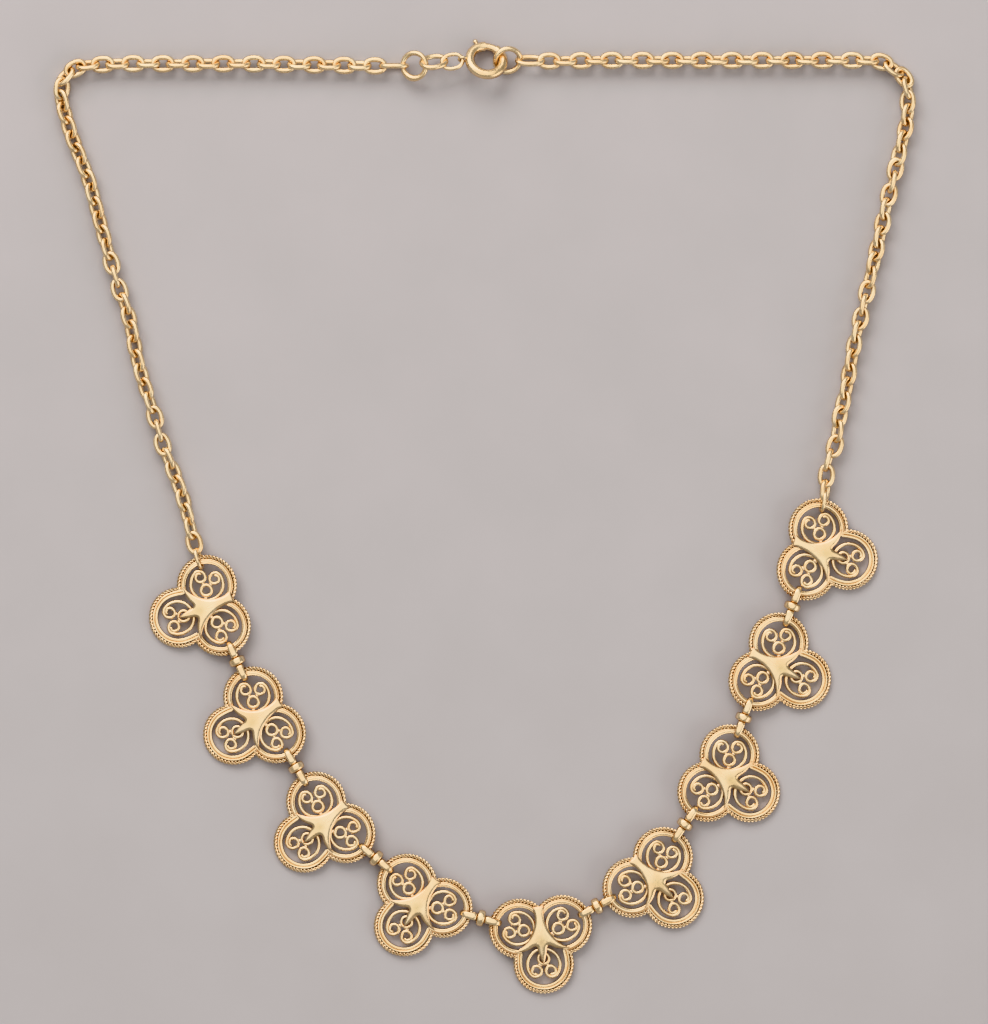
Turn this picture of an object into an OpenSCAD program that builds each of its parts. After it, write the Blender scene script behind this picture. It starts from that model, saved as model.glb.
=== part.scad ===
// Drapery necklace lying flat: nine openwork trefoil plaques joined by turned connectors,
// a fine cable chain on each side and a fastened bolt-ring clasp.
// Millimetres, +Z up. The origin is the middle of the outline, on the surface it lies on.

/* [Plaque] */
// Distance from the middle of a plaque to the middle of each lobe
lobe_out = 3.6; // [3.55:0.01:3.65]
// Inner radius of the plain border round a lobe
border_in = 3.12; // [3.1:0.01:3.14]
// Outer radius of the plain border
border_out = 3.77; // [3.7:0.01:3.85]
// Height of the plain border
border_h = 0.75; // [0.7:0.05:0.8]
// Outer radius of the rope edge
rope_out = 4.38; // [4.3:0.01:4.4]
// Height of the rope edge
rope_h = 0.6; // [0.5:0.05:0.65]
// Angle by which a plaque leans down to the tip of its pendent lobe
plaque_tilt = 4.7; // [4.6:0.1:4.9]

/* [Scroll] */
// Thickness of the scroll wire
scroll_wire = 0.35; // [0.34:0.01:0.36]
// Radius of the big C of a scroll
scroll_r = 2.33; // [2.3:0.01:2.34]
// Radius of the first turn of each curl
curl_r = 0.95; // [0.93:0.01:0.96]
// Radius of the second turn of each curl
inner_r = 0.76; // [0.75:0.01:0.77]
// Radius of the last turn, which ends free
tip_r = 0.56; // [0.54:0.01:0.57]
// Radius of the small closed ring in each scroll
ring_r = 0.96; // [0.95:0.01:0.97]

/* [Cover plate] */
// Length of the square-ended arm from the middle of the plaque
arm_len = 4.8; // [4.6:0.1:4.9]
// Length of the dagger over the pendent lobe
dagger_len = 3.38; // [3.2:0.02:3.5]
// Radius of the hollowed sides that follow the two upper lobes
hollow_r = 5.36; // [5.3:0.02:5.4]
// Thickness of the plate
plate_t = 0.45; // [0.4:0.05:0.5]

/* [Connector] */
// Length over both eyes
connector_len = 6.28; // [6.26:0.01:6.3]
// Diameter of the turned collar
collar_d = 2.4; // [2.35:0.05:2.45]
// Thickness of the collar
collar_t = 0.95; // [0.9:0.05:1]
// Height of an eye
eye_h = 2; // [1.95:0.05:2.05]
// Width of the flat strap of an eye
eye_w = 1; // [0.9:0.05:1.05]
// Thickness of the strap
strap_t = 0.36; // [0.34:0.01:0.36]

/* [Chain] */
// Diameter of the tube that stands for the linked chain
chain_d = 2.4; // [2.2:0.05:2.45]
// Length of a chain link over its ends
link_len = 3.3; // [3.2:0.05:3.4]
// Width of a chain link
link_w = 2.45; // [2.4:0.05:2.5]
// Wire of a chain link
link_wire = 0.52; // [0.48:0.02:0.54]

/* [Clasp] */
// Radius of the middle line of the bolt ring
clasp_r = 2.43; // [2.4:0.01:2.45]
// Outer radius of the ring's tube
clasp_tube = 0.7; // [0.69:0.01:0.71]
// Radius of the bore that the bolt slides in
clasp_bore = 0.57; // [0.56:0.01:0.58]
// Radius of the bolt
bolt_r = 0.52; // [0.51:0.01:0.53]
// Angle that the bolt slides back through
bolt_travel = 40; // [20:1:40]
// Radius of the thumb knob
knob_r = 0.36; // [0.3:0.01:0.38]

/* [Hidden] */
$fn = 48;
gold = "#D9B367";

// Where each plaque lies: x, y, and the turn of its pendent lobe from straight down
PLACE = [
    [-40.9, -13.5, -71],
    [-33.4, -29.7, -58],
    [-23.6, -44.8, -47],
    [-9.7, -56.4, -34],
    [8.2, -61.2, 5],
    [24.8, -52.8, 45],
    [35.3, -38.1, 59],
    [42.6, -21.9, 62],
    [49.1, -5.3, 74]
];
// Turn of each plaque's scrolls in their lobes: left, pendent and right, as laid by hand
SCROLL_TURNS = [
    [6, -2, -2], [0, 0, -12], [8, 4, 10],
    [-2, 4, 6], [4, -4, 8], [-12, 0, -4],
    [-3, -6, -2], [5, 0, 0], [2, -6, -2]
];

// Routes of the two chains, from the clasp round to the end plaques
ROUTE_LEFT = [
    [-12.5, 65.2], [-16.6, 65.2], [-22, 65.3], [-28, 65.4], [-34, 65.5], [-40, 65.5],
    [-46, 65.5], [-52, 65.5], [-57.2, 65.3], [-59.1, 64.9], [-60.8, 63.6], [-61.6, 62.2],
    [-61.5, 60.3], [-60.8, 58.3], [-59.7, 54.7], [-57.5, 49.1], [-56.7, 46.3], [-55.7, 42.5],
    [-54.7, 38.9], [-53, 33.1], [-51.5, 28.6], [-50.4, 23], [-49.2, 18.8], [-47.8, 14.5],
    [-46.5, 9.9], [-45, 6.2], [-43.7, 2.5], [-42.6, -1.8], [-42.2, -4.2]
];
ROUTE_RIGHT = [
    [5.9, 65.9], [10.9, 65.9], [17, 66], [23, 66], [29, 66], [35, 66], [41, 66], [47, 66],
    [53, 66], [57.3, 65.8], [59.1, 64.8], [60.7, 63.5], [61.4, 61.8], [61.6, 60.2],
    [61.4, 58], [60.9, 56.2], [60.1, 52.9], [58.4, 46.2], [57.5, 42], [56.3, 36.8],
    [55.3, 32.5], [54.4, 28.7], [53.4, 24.5], [52.3, 18.3], [51.3, 14.1], [50.7, 10.3],
    [49.7, 7.9], [49.2, 4.3]
];
CHAIN_SIDES = 8;

// Heights above a plaque's back
rope_low = 0.05;
scroll_low = 0.3;
plate_low = 0.5;
// Lift of a plaque's middle, so that the rope edge of its pendent lobe just meets the floor
floor_gap = 0.01;
plaque_lift = (lobe_out + rope_out) * sin(plaque_tilt) - rope_low * cos(plaque_tilt) + floor_gap;
// Radius round a plaque's middle that holds no border
plaque_core = 2.5;
// How far the pendent lobe's border stops short of the lobe's middle, where it runs straight
straight_len = 1.7;
straight_gap = 0.04;
rope_lap = 0.07;

// Turns of the three lobes, counted from the square-ended arm
LOBE_TURNS = [60, 180, 300];
LEFT_LOBE = 150;
RIGHT_LOBE = 30;

// Arcs of one half of a scroll, in a lobe whose way out is +Y
scroll_up = 0.24;
curl_start = 30;
curl_c = [0, scroll_up] + (scroll_r - curl_r) * [cos(curl_start), sin(curl_start)];
inner_c = curl_c + [inner_r - curl_r, 0];
tip_c = inner_c + [inner_r - tip_r, 0];
ring_down = 0.84;
// Each arc: centre, radius, first angle, last angle
SCROLL_ARCS = [
    [[0, scroll_up], scroll_r, -93, curl_start],
    [curl_c, curl_r, curl_start, 180],
    [inner_c, inner_r, 180, 360],
    [tip_c, tip_r, 360, 470]
];
ARC_STEP = 18;

// Cover plate: the centre of each hollowed side, and the angles where the side begins and ends
hollow_out = 6.8;
hollow_c = hollow_out * [cos(RIGHT_LOBE), sin(RIGHT_LOBE)];
hollow_first = 180 - asin((arm_len - hollow_c[1]) / hollow_r);
hollow_last = 249;
// Right half of the dagger, from its root: half width, share of the dagger's length
DAGGER = [[0.51, 0.35], [0.28, 0.68], [0, 1]];
dagger_root = [0.72, -0.6];
arm_belly = [2.1, -1.35];

// Connector: how far out the hole of an eye begins, the eye's corners and the collar's bevel
eye_wall = 0.8;
eye_bend = 0.62;
collar_bevel = 0.25;
eye_lap = 0.1;

chain_z = chain_d / 2 * cos(180 / CHAIN_SIDES);
// End links: distance from the middle of the lobe, and their two directions
end_link_mid = 4.04;
END_WAYS = [107, 80];

// Clasp: where its middle lies, how it leans on the jump ring, and where its parts begin and
// end round it, as angles in the ring's own plane
clasp_turn = -15;
clasp_lean = -30.3;
CLASP_AT = [0.22, 65.9, clasp_tube - clasp_r * sin(clasp_lean)];
gap_first = 70;
gap_last = 108;
bolt_first = 64;
bolt_last = 138;
socket_first = 61;
bore_last = 182;
// The knob's stem, and the slot's room to its sides and beyond its travel
knob_at = 130;
stem_r = 0.22;
stem_gap = 0.05;
slot_spare = 7;
eyelet_at = 195;
eyelet_out = 3.45;
eyelet_r = 0.55;
eyelet_wire = 0.36;

// Ring of round wire in the XY plane
module wire_ring(r, wire) {
    rotate_extrude() translate([r, 0]) circle(d = wire);
}

// Part of a tube bent round Z, from one angle to another
module bent_rod(r, rod_r, from, to) {
    rotate([0, 0, from]) rotate_extrude(angle = to - from) translate([r, 0]) circle(r = rod_r);
}

// Oval link in the XY plane, long along X
module oval_link(length, width, wire) {
    bend = (width - wire) / 2;
    half = (length - width) / 2;
    for (turn = [0, 180]) rotate([0, 0, turn]) {
        translate([half, 0, 0]) bent_rod(bend, wire / 2, -90, 90);
        translate([-half, bend, 0]) rotate([0, 90, 0]) cylinder(d = wire, h = 2 * half);
    }
}

// Places what follows in each of the three lobes, with the way out along +Y
module each_lobe(extra = [0, 0, 0]) {
    for (k = [0:2]) rotate([0, 0, LOBE_TURNS[k]]) translate([0, lobe_out])
        rotate([0, 0, extra[k]]) children();
}

module lobe_discs(r) {
    each_lobe() circle(r = r);
}

// Plain border: the pendent lobe's sides run straight up to the arms of the cover plate
module border() {
    linear_extrude(border_h) difference() {
        lobe_discs(border_out);
        lobe_discs(border_in);
        circle(r = plaque_core);
        translate([-border_in - straight_gap, -lobe_out])
            square([2 * (border_in + straight_gap), straight_len]);
    }
}

module rope_edge() {
    translate([0, 0, rope_low]) linear_extrude(rope_h) difference() {
        lobe_discs(rope_out);
        lobe_discs(border_out - rope_lap);
        circle(r = plaque_core);
    }
}

// Points along the scroll's arcs, off to one side of the wire's middle line
function scroll_rim(off) = [
    for (k = [0:len(SCROLL_ARCS) - 1])
        let (arc = SCROLL_ARCS[k], steps = ceil((arc[3] - arc[2]) / ARC_STEP))
            for (j = [k == 0 ? 0 : 1:steps])
                let (a = arc[2] + (arc[3] - arc[2]) * j / steps)
                    arc[0] + (arc[1] + off) * [cos(a), sin(a)]
];
function reversed(list) = [for (k = [len(list) - 1:-1:0]) list[k]];

module half_scroll() {
    polygon(concat(scroll_rim(scroll_wire / 2), reversed(scroll_rim(-scroll_wire / 2))));
}

module scroll() {
    translate([0, 0, scroll_low]) linear_extrude(scroll_wire) {
        half_scroll();
        mirror([1, 0]) half_scroll();
        translate([0, -ring_down]) difference() {
            circle(r = ring_r + scroll_wire / 2);
            circle(r = ring_r - scroll_wire / 2);
        }
    }
}

// Right half of the cover plate's outline, from the end of the square arm to the dagger's tip
function hollow_point(a) = hollow_c + hollow_r * [cos(a), sin(a)];
function bend_point(a, b, c, t) = (1 - t) * (1 - t) * a + 2 * t * (1 - t) * b + t * t * c;
function plate_side() = concat(
    [for (t = [0:0.1:1]) hollow_point(hollow_first + (hollow_last - hollow_first) * t)],
    [for (t = [0.2:0.2:1]) bend_point(hollow_point(hollow_last), arm_belly, dagger_root, t)],
    [for (row = DAGGER) [row[0], dagger_root[1] - row[1] * (dagger_len + dagger_root[1])]]
);

module cover_plate() {
    side = plate_side();
    other = [for (k = [len(side) - 2:-1:0]) [-side[k][0], side[k][1]]];
    translate([0, 0, plate_low]) linear_extrude(plate_t) polygon(concat(side, other));
}

module plaque(k) {
    color(gold) translate([PLACE[k][0], PLACE[k][1], plaque_lift])
        rotate([0, 0, PLACE[k][2]]) rotate([plaque_tilt, 0, 0]) {
            border();
            rope_edge();
            each_lobe(SCROLL_TURNS[k]) scroll();
            cover_plate();
        }
}

// Middle of a lobe of a plaque, in the plane of the floor
function lobe_at(k, lobe) = [PLACE[k][0], PLACE[k][1]]
    + lobe_out * [cos(lobe + PLACE[k][2]), sin(lobe + PLACE[k][2])];

// Bar along X with a height about the X axis and two rounded corners at its far end
module rounded_bar(from, to, height, bend) {
    translate([from, -height / 2]) square([to - bend - from, height]);
    translate([from, bend - height / 2]) square([to - from, height - 2 * bend]);
    for (side = [-1, 1]) translate([to - bend, side * (height / 2 - bend)]) circle(r = bend);
}

// Flat eye in the XZ plane, reaching out along +X to half of the connector's length
module connector_eye() {
    root = collar_t / 2 - eye_lap;
    tip = connector_len / 2;
    translate([0, eye_w / 2, 0]) rotate([90, 0, 0]) linear_extrude(eye_w) difference() {
        rounded_bar(root, tip, eye_h, eye_bend);
        rounded_bar(eye_wall, tip - strap_t, eye_h - 2 * strap_t, eye_bend - strap_t);
    }
}

module collar() {
    rim = collar_d / 2;
    half = collar_t / 2;
    rotate([0, 90, 0]) rotate_extrude() polygon([
        [0, -half], [rim - collar_bevel, -half], [rim, collar_bevel - half],
        [rim, half - collar_bevel], [rim - collar_bevel, half], [0, half]
    ]);
}

// Connector between the right lobe of one plaque and the left lobe of the next
module connector(k) {
    from = lobe_at(k, RIGHT_LOBE);
    to = lobe_at(k + 1, LEFT_LOBE);
    middle = (from + to) / 2;
    color(gold) translate([middle[0], middle[1], collar_d / 2])
        rotate([0, 0, atan2(to[1] - from[1], to[0] - from[0])]) {
            collar();
            for (turn = [0, 180]) rotate([0, 0, turn]) connector_eye();
        }
}

// Direction of a route at one of its points, square to the ring that is drawn there
function route_way(route, k) =
    let (d = route[min(k + 1, len(route) - 1)] - route[max(k - 1, 0)]) d / norm(d);
function tube_ring(route, k) =
    let (way = route_way(route, k))
        [for (j = [0:CHAIN_SIDES - 1])
            let (a = (j + 0.5) * 360 / CHAIN_SIDES, r = chain_d / 2)
                [
                    route[k][0] - way[1] * r * cos(a),
                    route[k][1] + way[0] * r * cos(a),
                    chain_z + r * sin(a)
                ]];

module chain_tube(route) {
    last = len(route) - 1;
    n = CHAIN_SIDES;
    rings = [for (k = [0:last]) each tube_ring(route, k)];
    walls = [
        for (k = [0:last - 1])
            for (j = [0:n - 1])
                let (a = k * n + j, b = k * n + (j + 1) % n)
                    each [[a, a + n, b + n], [a, b + n, b]]
    ];
    ends = [[for (j = [0:n - 1]) j], [for (j = [n - 1:-1:0]) last * n + j]];
    polyhedron(points = rings, faces = concat(walls, ends));
}

module chain_left() {
    color(gold) chain_tube(ROUTE_LEFT);
}

module chain_right() {
    color(gold) chain_tube(ROUTE_RIGHT);
}

// Upright link threaded through the border of an end plaque
module end_link(k, lobe, way) {
    at = lobe_at(k, lobe) + end_link_mid * [cos(way), sin(way)];
    color(gold) translate([at[0], at[1], link_w / 2]) rotate([0, 0, way]) rotate([90, 0, 0])
        oval_link(link_len, link_w, link_wire);
}

// The catch ring leans so that its clasp side is the high one
module catch_ring() {
    color(gold) translate([-10.19, 65.18, 1.78]) rotate([0, -22, 0]) rotate([7, 0, 0])
        wire_ring(1.86, 0.66);
}

// The first oval link stands nearly on its edge, the second lies nearly flat
module clasp_link_a() {
    color(gold) translate([-7.37, 65.66, 2.3]) rotate([0, 16, 14]) rotate([-58, 0, 0])
        oval_link(4.3, 3.5, 0.6);
}

module clasp_link_b() {
    color(gold) translate([-4.7, 65.7, 2.4]) rotate([0, 1, 11]) rotate([-5, 0, 0])
        oval_link(3.54, 2.64, 0.5);
}

module at_clasp() {
    translate(CLASP_AT) rotate([0, 0, clasp_turn]) rotate([clasp_lean, 0, 0]) children();
}

// Hollow ring with a gap, a bore and a slot for the bolt, a socket for its tip and an eyelet
module clasp_ring() {
    color(gold) at_clasp() {
        difference() {
            bent_rod(clasp_r, clasp_tube, gap_last, gap_first + 360);
            bent_rod(clasp_r, clasp_bore, gap_last - 1, bore_last);
            bent_rod(clasp_r, clasp_bore, socket_first, gap_first + 1);
            rotate([0, 0, knob_at - slot_spare])
                rotate_extrude(angle = bolt_travel + 2 * slot_spare)
                    translate([clasp_r, -stem_r - stem_gap])
                        square([2 * clasp_tube, 2 * (stem_r + stem_gap)]);
        }
        rotate([0, 0, eyelet_at]) translate([eyelet_out, 0, 0]) rotate([90, 0, 0])
            wire_ring(eyelet_r, eyelet_wire);
    }
}

// Curved bolt with a stem through the slot and a round knob
module clasp_bolt() {
    knob_out = clasp_r + clasp_tube + stem_gap + knob_r;
    color(gold) at_clasp() {
        bent_rod(clasp_r, bolt_r, bolt_first, bolt_last);
        rotate([0, 0, knob_at]) {
            translate([clasp_r, 0, 0]) rotate([0, 90, 0])
                cylinder(r = stem_r, h = knob_out - clasp_r);
            translate([knob_out, 0, 0]) sphere(r = knob_r);
        }
    }
}

// The jump ring passes over the clasp ring on one side of it and under it on the other
module jump_ring() {
    color(gold) translate([3.3, 65.97, 1.4]) rotate([0, 0, 19.5]) rotate([30.8, 0, 0])
        wire_ring(1.85, 0.72);
}

for (k = [0:8]) plaque(k);
for (k = [0:7]) connector(k);
chain_left();
chain_right();
end_link(0, LEFT_LOBE, END_WAYS[0]);  // end_link_left
end_link(8, RIGHT_LOBE, END_WAYS[1]);  // end_link_right
catch_ring();
clasp_link_a();
clasp_link_b();
clasp_ring();
clasp_bolt();
jump_ring();
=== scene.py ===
import math

import bpy
import numpy as np
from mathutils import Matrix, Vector


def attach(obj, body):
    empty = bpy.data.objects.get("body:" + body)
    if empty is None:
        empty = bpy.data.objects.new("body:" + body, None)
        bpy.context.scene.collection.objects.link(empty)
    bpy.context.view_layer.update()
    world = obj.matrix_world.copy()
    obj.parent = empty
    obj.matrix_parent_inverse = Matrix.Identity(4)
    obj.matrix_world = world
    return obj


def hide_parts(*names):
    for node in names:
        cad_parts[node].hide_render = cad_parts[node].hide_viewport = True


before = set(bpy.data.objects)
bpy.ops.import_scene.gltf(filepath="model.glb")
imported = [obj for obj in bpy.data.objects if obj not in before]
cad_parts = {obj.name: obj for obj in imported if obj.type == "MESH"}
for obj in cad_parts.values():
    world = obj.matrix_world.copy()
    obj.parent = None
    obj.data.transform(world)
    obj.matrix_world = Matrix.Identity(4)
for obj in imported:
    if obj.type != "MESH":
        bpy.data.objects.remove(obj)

# The drapery necklace as it lies: nine openwork plaques, eight turned connectors, two cable
# chains and a bolt ring. Lengths are millimetres until a mesh is made.
MM = 0.001
TAU = 2 * math.pi
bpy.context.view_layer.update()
rng = np.random.default_rng(11)

UP = np.array([0.0, 0.0, 1.0])
# Painted shade on faces that turn sideways or down: the upward part of the normal where it
# begins, and over which it fills
SIDE_FROM, SIDE_SPAN = 0.6, 0.7
# How dark the painted shade on the sides of each kind of wire is
ROPE_SIDE, SCROLL_SIDE, LINK_SIDE, RING_SIDE = 0.4, 0.65, 0.42, 0.6


def unit(v):
    v = np.asarray(v, float)
    return v / np.linalg.norm(v, axis=-1, keepdims=True)


def turn(axis, degrees):
    """4x4 turn about the axis 0, 1 or 2."""
    c, s = math.cos(math.radians(degrees)), math.sin(math.radians(degrees))
    m = np.eye(4)
    i, j = [(1, 2), (2, 0), (0, 1)][axis]
    m[i, i] = m[j, j] = c
    m[i, j], m[j, i] = -s, s
    return m


def move(x, y, z=0.0):
    m = np.eye(4)
    m[:3, 3] = x, y, z
    return m


def direction(degrees):
    return np.array([math.cos(math.radians(degrees)), math.sin(math.radians(degrees))])


class Shell:
    """The points and faces of one piece while it is put together from closed skins."""

    def __init__(self):
        self.points, self.quads, self.tris, self.count = [], [], [], 0
        self.shade, self.tarnish, self.side = [], [], []

    def add(self, points, quads, tris, place=None, shade=0.0, tarnish=0.0, side=1.0):
        """Adds a closed skin, with its faces turned outward. Shade is painted shade, above 0 in
        hollows, grooves, edges and undersides; below 0 it marks solder. The number after it
        paints a dark olive reflection, and side is how dark the painted shade on its sides is."""
        points = np.asarray(points, float).reshape(-1, 3)
        if place is not None:
            points = points @ place[:3, :3].T + place[:3, 3]
        quads = np.asarray(quads, int).reshape(-1, 4)
        tris = np.asarray(tris, int).reshape(-1, 3)
        a, b, c, d = (points[quads[:, k]] for k in range(4))
        volume = np.sum(a * np.cross(b, c)) + np.sum(a * np.cross(c, d))
        a, b, c = (points[tris[:, k]] for k in range(3))
        if volume + np.sum(a * np.cross(b, c)) < 0:
            quads, tris = quads[:, ::-1], tris[:, ::-1]
        self.points.append(points)
        self.quads.append(quads + self.count)
        self.tris.append(tris + self.count)
        self.shade.append(np.broadcast_to(shade, len(points)).astype(float))
        self.tarnish.append(np.broadcast_to(tarnish, len(points)).astype(float))
        self.side.append(np.full(len(points), side))
        self.count += len(points)

    def make(self, name, material, body, nodes, sharp=50):
        """Makes the piece in Blender, riding on a body in the place of CAD nodes. Edges that
        bend more than sharp degrees stay sharp."""
        points = np.concatenate(self.points) * MM
        faces = np.concatenate(self.quads).tolist() + np.concatenate(self.tris).tolist()
        mesh = bpy.data.meshes.new(name)
        mesh.from_pydata(points.tolist(), [], faces)
        upward = np.empty(len(points) * 3, np.float32)
        mesh.vertices.foreach_get("normal", upward)
        # Painted shade: points whose normals turn sideways or down are darkened
        side = np.concatenate(self.side) * np.clip((SIDE_FROM - upward[2::3]) / SIDE_SPAN, 0, 1)
        shade = np.concatenate(self.shade)
        shade = np.where(shade < 0, shade, np.maximum(shade, side))
        # Painted shade, with solder below 0, and the painted dark reflection are kept at each
        # point
        for label, values in (("painted_shade_and_solder", shade), ("tarnish", np.concatenate(self.tarnish))):
            layer = mesh.attributes.new(label, "FLOAT", "POINT")
            layer.data.foreach_set("value", values.astype(np.float32))
        mesh.shade_smooth()
        mesh.set_sharp_from_angle(angle=math.radians(sharp))
        mesh.materials.append(material)
        piece = bpy.data.objects.new(name, mesh)
        bpy.context.scene.collection.objects.link(piece)
        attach(piece, body)
        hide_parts(*nodes)
        return piece


def grid_faces(rows, columns, closed=False):
    """Quads of a grid whose rows are rings. Closed joins the last ring to the first."""
    i = np.arange(rows if closed else rows - 1)[:, None] * columns
    j = np.arange(columns)[None, :]
    a, b = i + j, i + (j + 1) % columns
    total = rows * columns
    return np.stack([a, (a + columns) % total, (b + columns) % total, b], -1).reshape(-1, 4)


def fan_faces(first, columns, centre):
    """Triangles from a ring of points to a centre point."""
    j = np.arange(columns)
    return np.stack([np.full(columns, centre), first + j, first + (j + 1) % columns], -1)


def sweep(shell, path, up, section, closed=False, scale=None, place=None, shade=0.0, side=1.0):
    """A section of (across, up) points drawn along a flat path. Open ends get flat caps. Shade
    is one number, a row for the rings or for the section, or a table for all points."""
    path = np.asarray(path, float)
    n = len(path)
    ahead = np.roll(path, -1, 0) - np.roll(path, 1, 0) if closed else np.gradient(path, axis=0)
    way = unit(ahead)
    across = unit(np.cross(way, up))
    rise = np.cross(across, way)
    section = np.broadcast_to(section, (n,) + np.shape(section)[-2:])
    if scale is not None:
        section = section * np.asarray(scale)[:, None, None]
    m = section.shape[1]
    points = path[:, None] + section[..., :1] * across[:, None] + section[..., 1:] * rise[:, None]
    points = points.reshape(-1, 3)
    quads = grid_faces(n, m, closed)
    tris = np.zeros((0, 3), int)
    if not closed:
        tris = end_fans(n * m, m)
        points = np.concatenate([points, [points[:m].mean(0), points[-m:].mean(0)]])
    if np.ndim(shade) == 2:
        shade = np.append(shade, [1, 1])
    elif np.ndim(shade) == 1:
        shade = np.repeat(shade, m) if len(shade) == n else np.tile(shade, n)
        if not closed:
            shade = np.append(shade, [shade[0], shade[-1]])
    shell.add(points, quads, tris, place, shade, side=side)


# Angles of the rings that round off the end of a wire
DOME = np.radians([85.0, 58.0, 30.0])


def round_ended(path, radius, scale):
    """Adds a dome to both ends of an open path; returns the path and the section's scale."""
    path, scale = np.asarray(path, float), np.asarray(scale, float)
    back, on = unit(path[0] - path[1]), unit(path[-1] - path[-2])
    first = path[0] + radius * scale[0] * np.sin(DOME)[:, None] * back
    last = path[-1] + radius * scale[-1] * np.sin(DOME[::-1])[:, None] * on
    scales = [scale[0] * np.cos(DOME), scale, scale[-1] * np.cos(DOME[::-1])]
    return np.concatenate([first, path, last]), np.concatenate(scales)


def circle(radius, sides):
    a = np.arange(sides) * TAU / sides
    return radius * np.stack([np.cos(a), np.sin(a)], -1)


def rounded_bar(sides, power):
    """Section of half sizes 1, between a circle at power 2 and a square at higher ones."""
    a = (np.arange(sides) + 0.5) * TAU / sides
    c, s = np.cos(a), np.sin(a)
    return np.stack([np.sign(c) * np.abs(c) ** (2 / power),
                     np.sign(s) * np.abs(s) ** (2 / power)], -1)


def arc(centre, radius, first, last, step):
    """Flat points along an arc, at most step apart."""
    n = max(2, math.ceil(abs(math.radians(last - first)) * radius / step) + 1)
    a = np.radians(np.linspace(first, last, n))
    return np.asarray(centre) + radius * np.stack([np.cos(a), np.sin(a)], -1)


def lift(flat, z):
    flat = np.asarray(flat, float)
    return np.concatenate([flat, np.broadcast_to(np.reshape(z, (-1, 1)), (len(flat), 1))], 1)


BLOB_SIDES = 14


def end_fans(count, sides):
    """Triangles that close both ends of a grid of points with the two points that follow it."""
    last = fan_faces(count - sides, sides, count + 1)[:, ::-1]
    return np.concatenate([fan_faces(0, sides, count), last])


def blob(shell, centre, radii, place, shade):
    """A low rounded lump, such as a drop of solder."""
    a = np.radians(np.linspace(-80, 80, 8))
    around = np.arange(BLOB_SIDES) * TAU / BLOB_SIDES
    level, rise = np.cos(a)[:, None], np.sin(a)[:, None]
    points = np.stack([
        level * np.cos(around) * radii[0],
        level * np.sin(around) * radii[1],
        np.repeat(rise, BLOB_SIDES, 1) * radii[2],
    ], -1).reshape(-1, 3) + np.asarray(centre)
    ends = [points[:BLOB_SIDES].mean(0), points[-BLOB_SIDES:].mean(0)]
    tris = end_fans(len(points), BLOB_SIDES)
    points = np.concatenate([points, ends])
    shell.add(points, grid_faces(len(a), BLOB_SIDES), tris, place, shade)


def lathe(shell, profile, sides, place, shade=0.0):
    """A turned solid about X. The profile's (x, radius) points begin and end on the axis."""
    profile = np.asarray(profile, float)
    a = np.arange(sides) * TAU / sides
    inner = profile[1:-1]
    points = np.stack([
        np.repeat(inner[:, :1], sides, 1),
        inner[:, 1:] * np.cos(a),
        inner[:, 1:] * np.sin(a),
    ], -1).reshape(-1, 3)
    tris = end_fans(len(points), sides)
    points = np.concatenate([points, [[profile[0, 0], 0, 0], [profile[-1, 0], 0, 0]]])
    if np.ndim(shade):
        shade = np.append(np.repeat(shade[1:-1], sides), [shade[0], shade[-1]])
    shell.add(points, grid_faces(len(inner), sides), tris, place, shade)


def mixed(nodes, links, factor, first, second):
    """A colour mix node between two colours, each a list of numbers or a socket."""
    mix = nodes.new("ShaderNodeMix")
    mix.data_type = "RGBA"
    links.new(factor, mix.inputs["Factor"])
    for socket, value in ((mix.inputs[6], first), (mix.inputs[7], second)):
        if isinstance(value, (tuple, list)):
            socket.default_value = (*value, 1.0)
        else:
            links.new(value, socket)
    return mix.outputs[2]


def ranged(nodes, links, value, low, high, to_low, to_high):
    """Maps a value from one range to another, held at both ends."""
    node = nodes.new("ShaderNodeMapRange")
    limits = {"From Min": low, "From Max": high, "To Min": to_low, "To Max": to_high}
    for name, number in limits.items():
        node.inputs[name].default_value = number
    links.new(value, node.inputs["Value"])
    return node.outputs["Result"]


def noise(nodes, links, where, scale, detail=3.0, distortion=0.0):
    node = nodes.new("ShaderNodeTexNoise")
    node.inputs["Scale"].default_value = scale
    node.inputs["Detail"].default_value = detail
    node.inputs["Distortion"].default_value = distortion
    links.new(where, node.inputs["Vector"])
    return node.outputs["Fac"]


def calculated(nodes, links, operation, *values):
    """A math node's result, from sockets and decimal numbers."""
    node = nodes.new("ShaderNodeMath")
    node.operation = operation
    for socket, value in zip(node.inputs, values):
        if isinstance(value, float):
            socket.default_value = value
        else:
            links.new(value, socket)
    return node.outputs[0]


def stored(nodes, label):
    """A number kept at each point of a mesh."""
    node = nodes.new("ShaderNodeAttribute")
    node.attribute_name = label
    return node.outputs["Fac"]


PALE = (0.98, 0.8, 0.53)
WARM = (0.95, 0.7, 0.41)
# DEEP is the brown of painted shade in hollows, crevices and on the sides
DEEP = (0.44, 0.21, 0.09)
SOLDER = (0.95, 0.74, 0.5)
# OLIVE: random blotches, and a painted dark reflection in the middle of each cover plate
OLIVE = (0.6, 0.46, 0.25)
# Noises: scale, detail and distortion
PATCH_NOISE, BLOTCH_NOISE, PAINTED_SHADE_NOISE = (420.0, 4.0), (260.0, 3.0, 0.4), (900.0, 5.0)
FINE_NOISE, DENT_NOISE, FLOOR_NOISE = (2600.0, 4.0, 0.6), (700.0, 2.0), (60.0, 5.0)
# How strong the painted dark reflection and the random olive blotches are
PAINTED_REFLECTION_FULL, BLOTCH_FULL = 0.75, 0.22
# Lengths here are metres
CREVICE_WIDE, BUMP_HIGH = 0.00045, 0.00003
CREVICE_SAMPLES = 8
DENT_SHARE = 2.0


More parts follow.
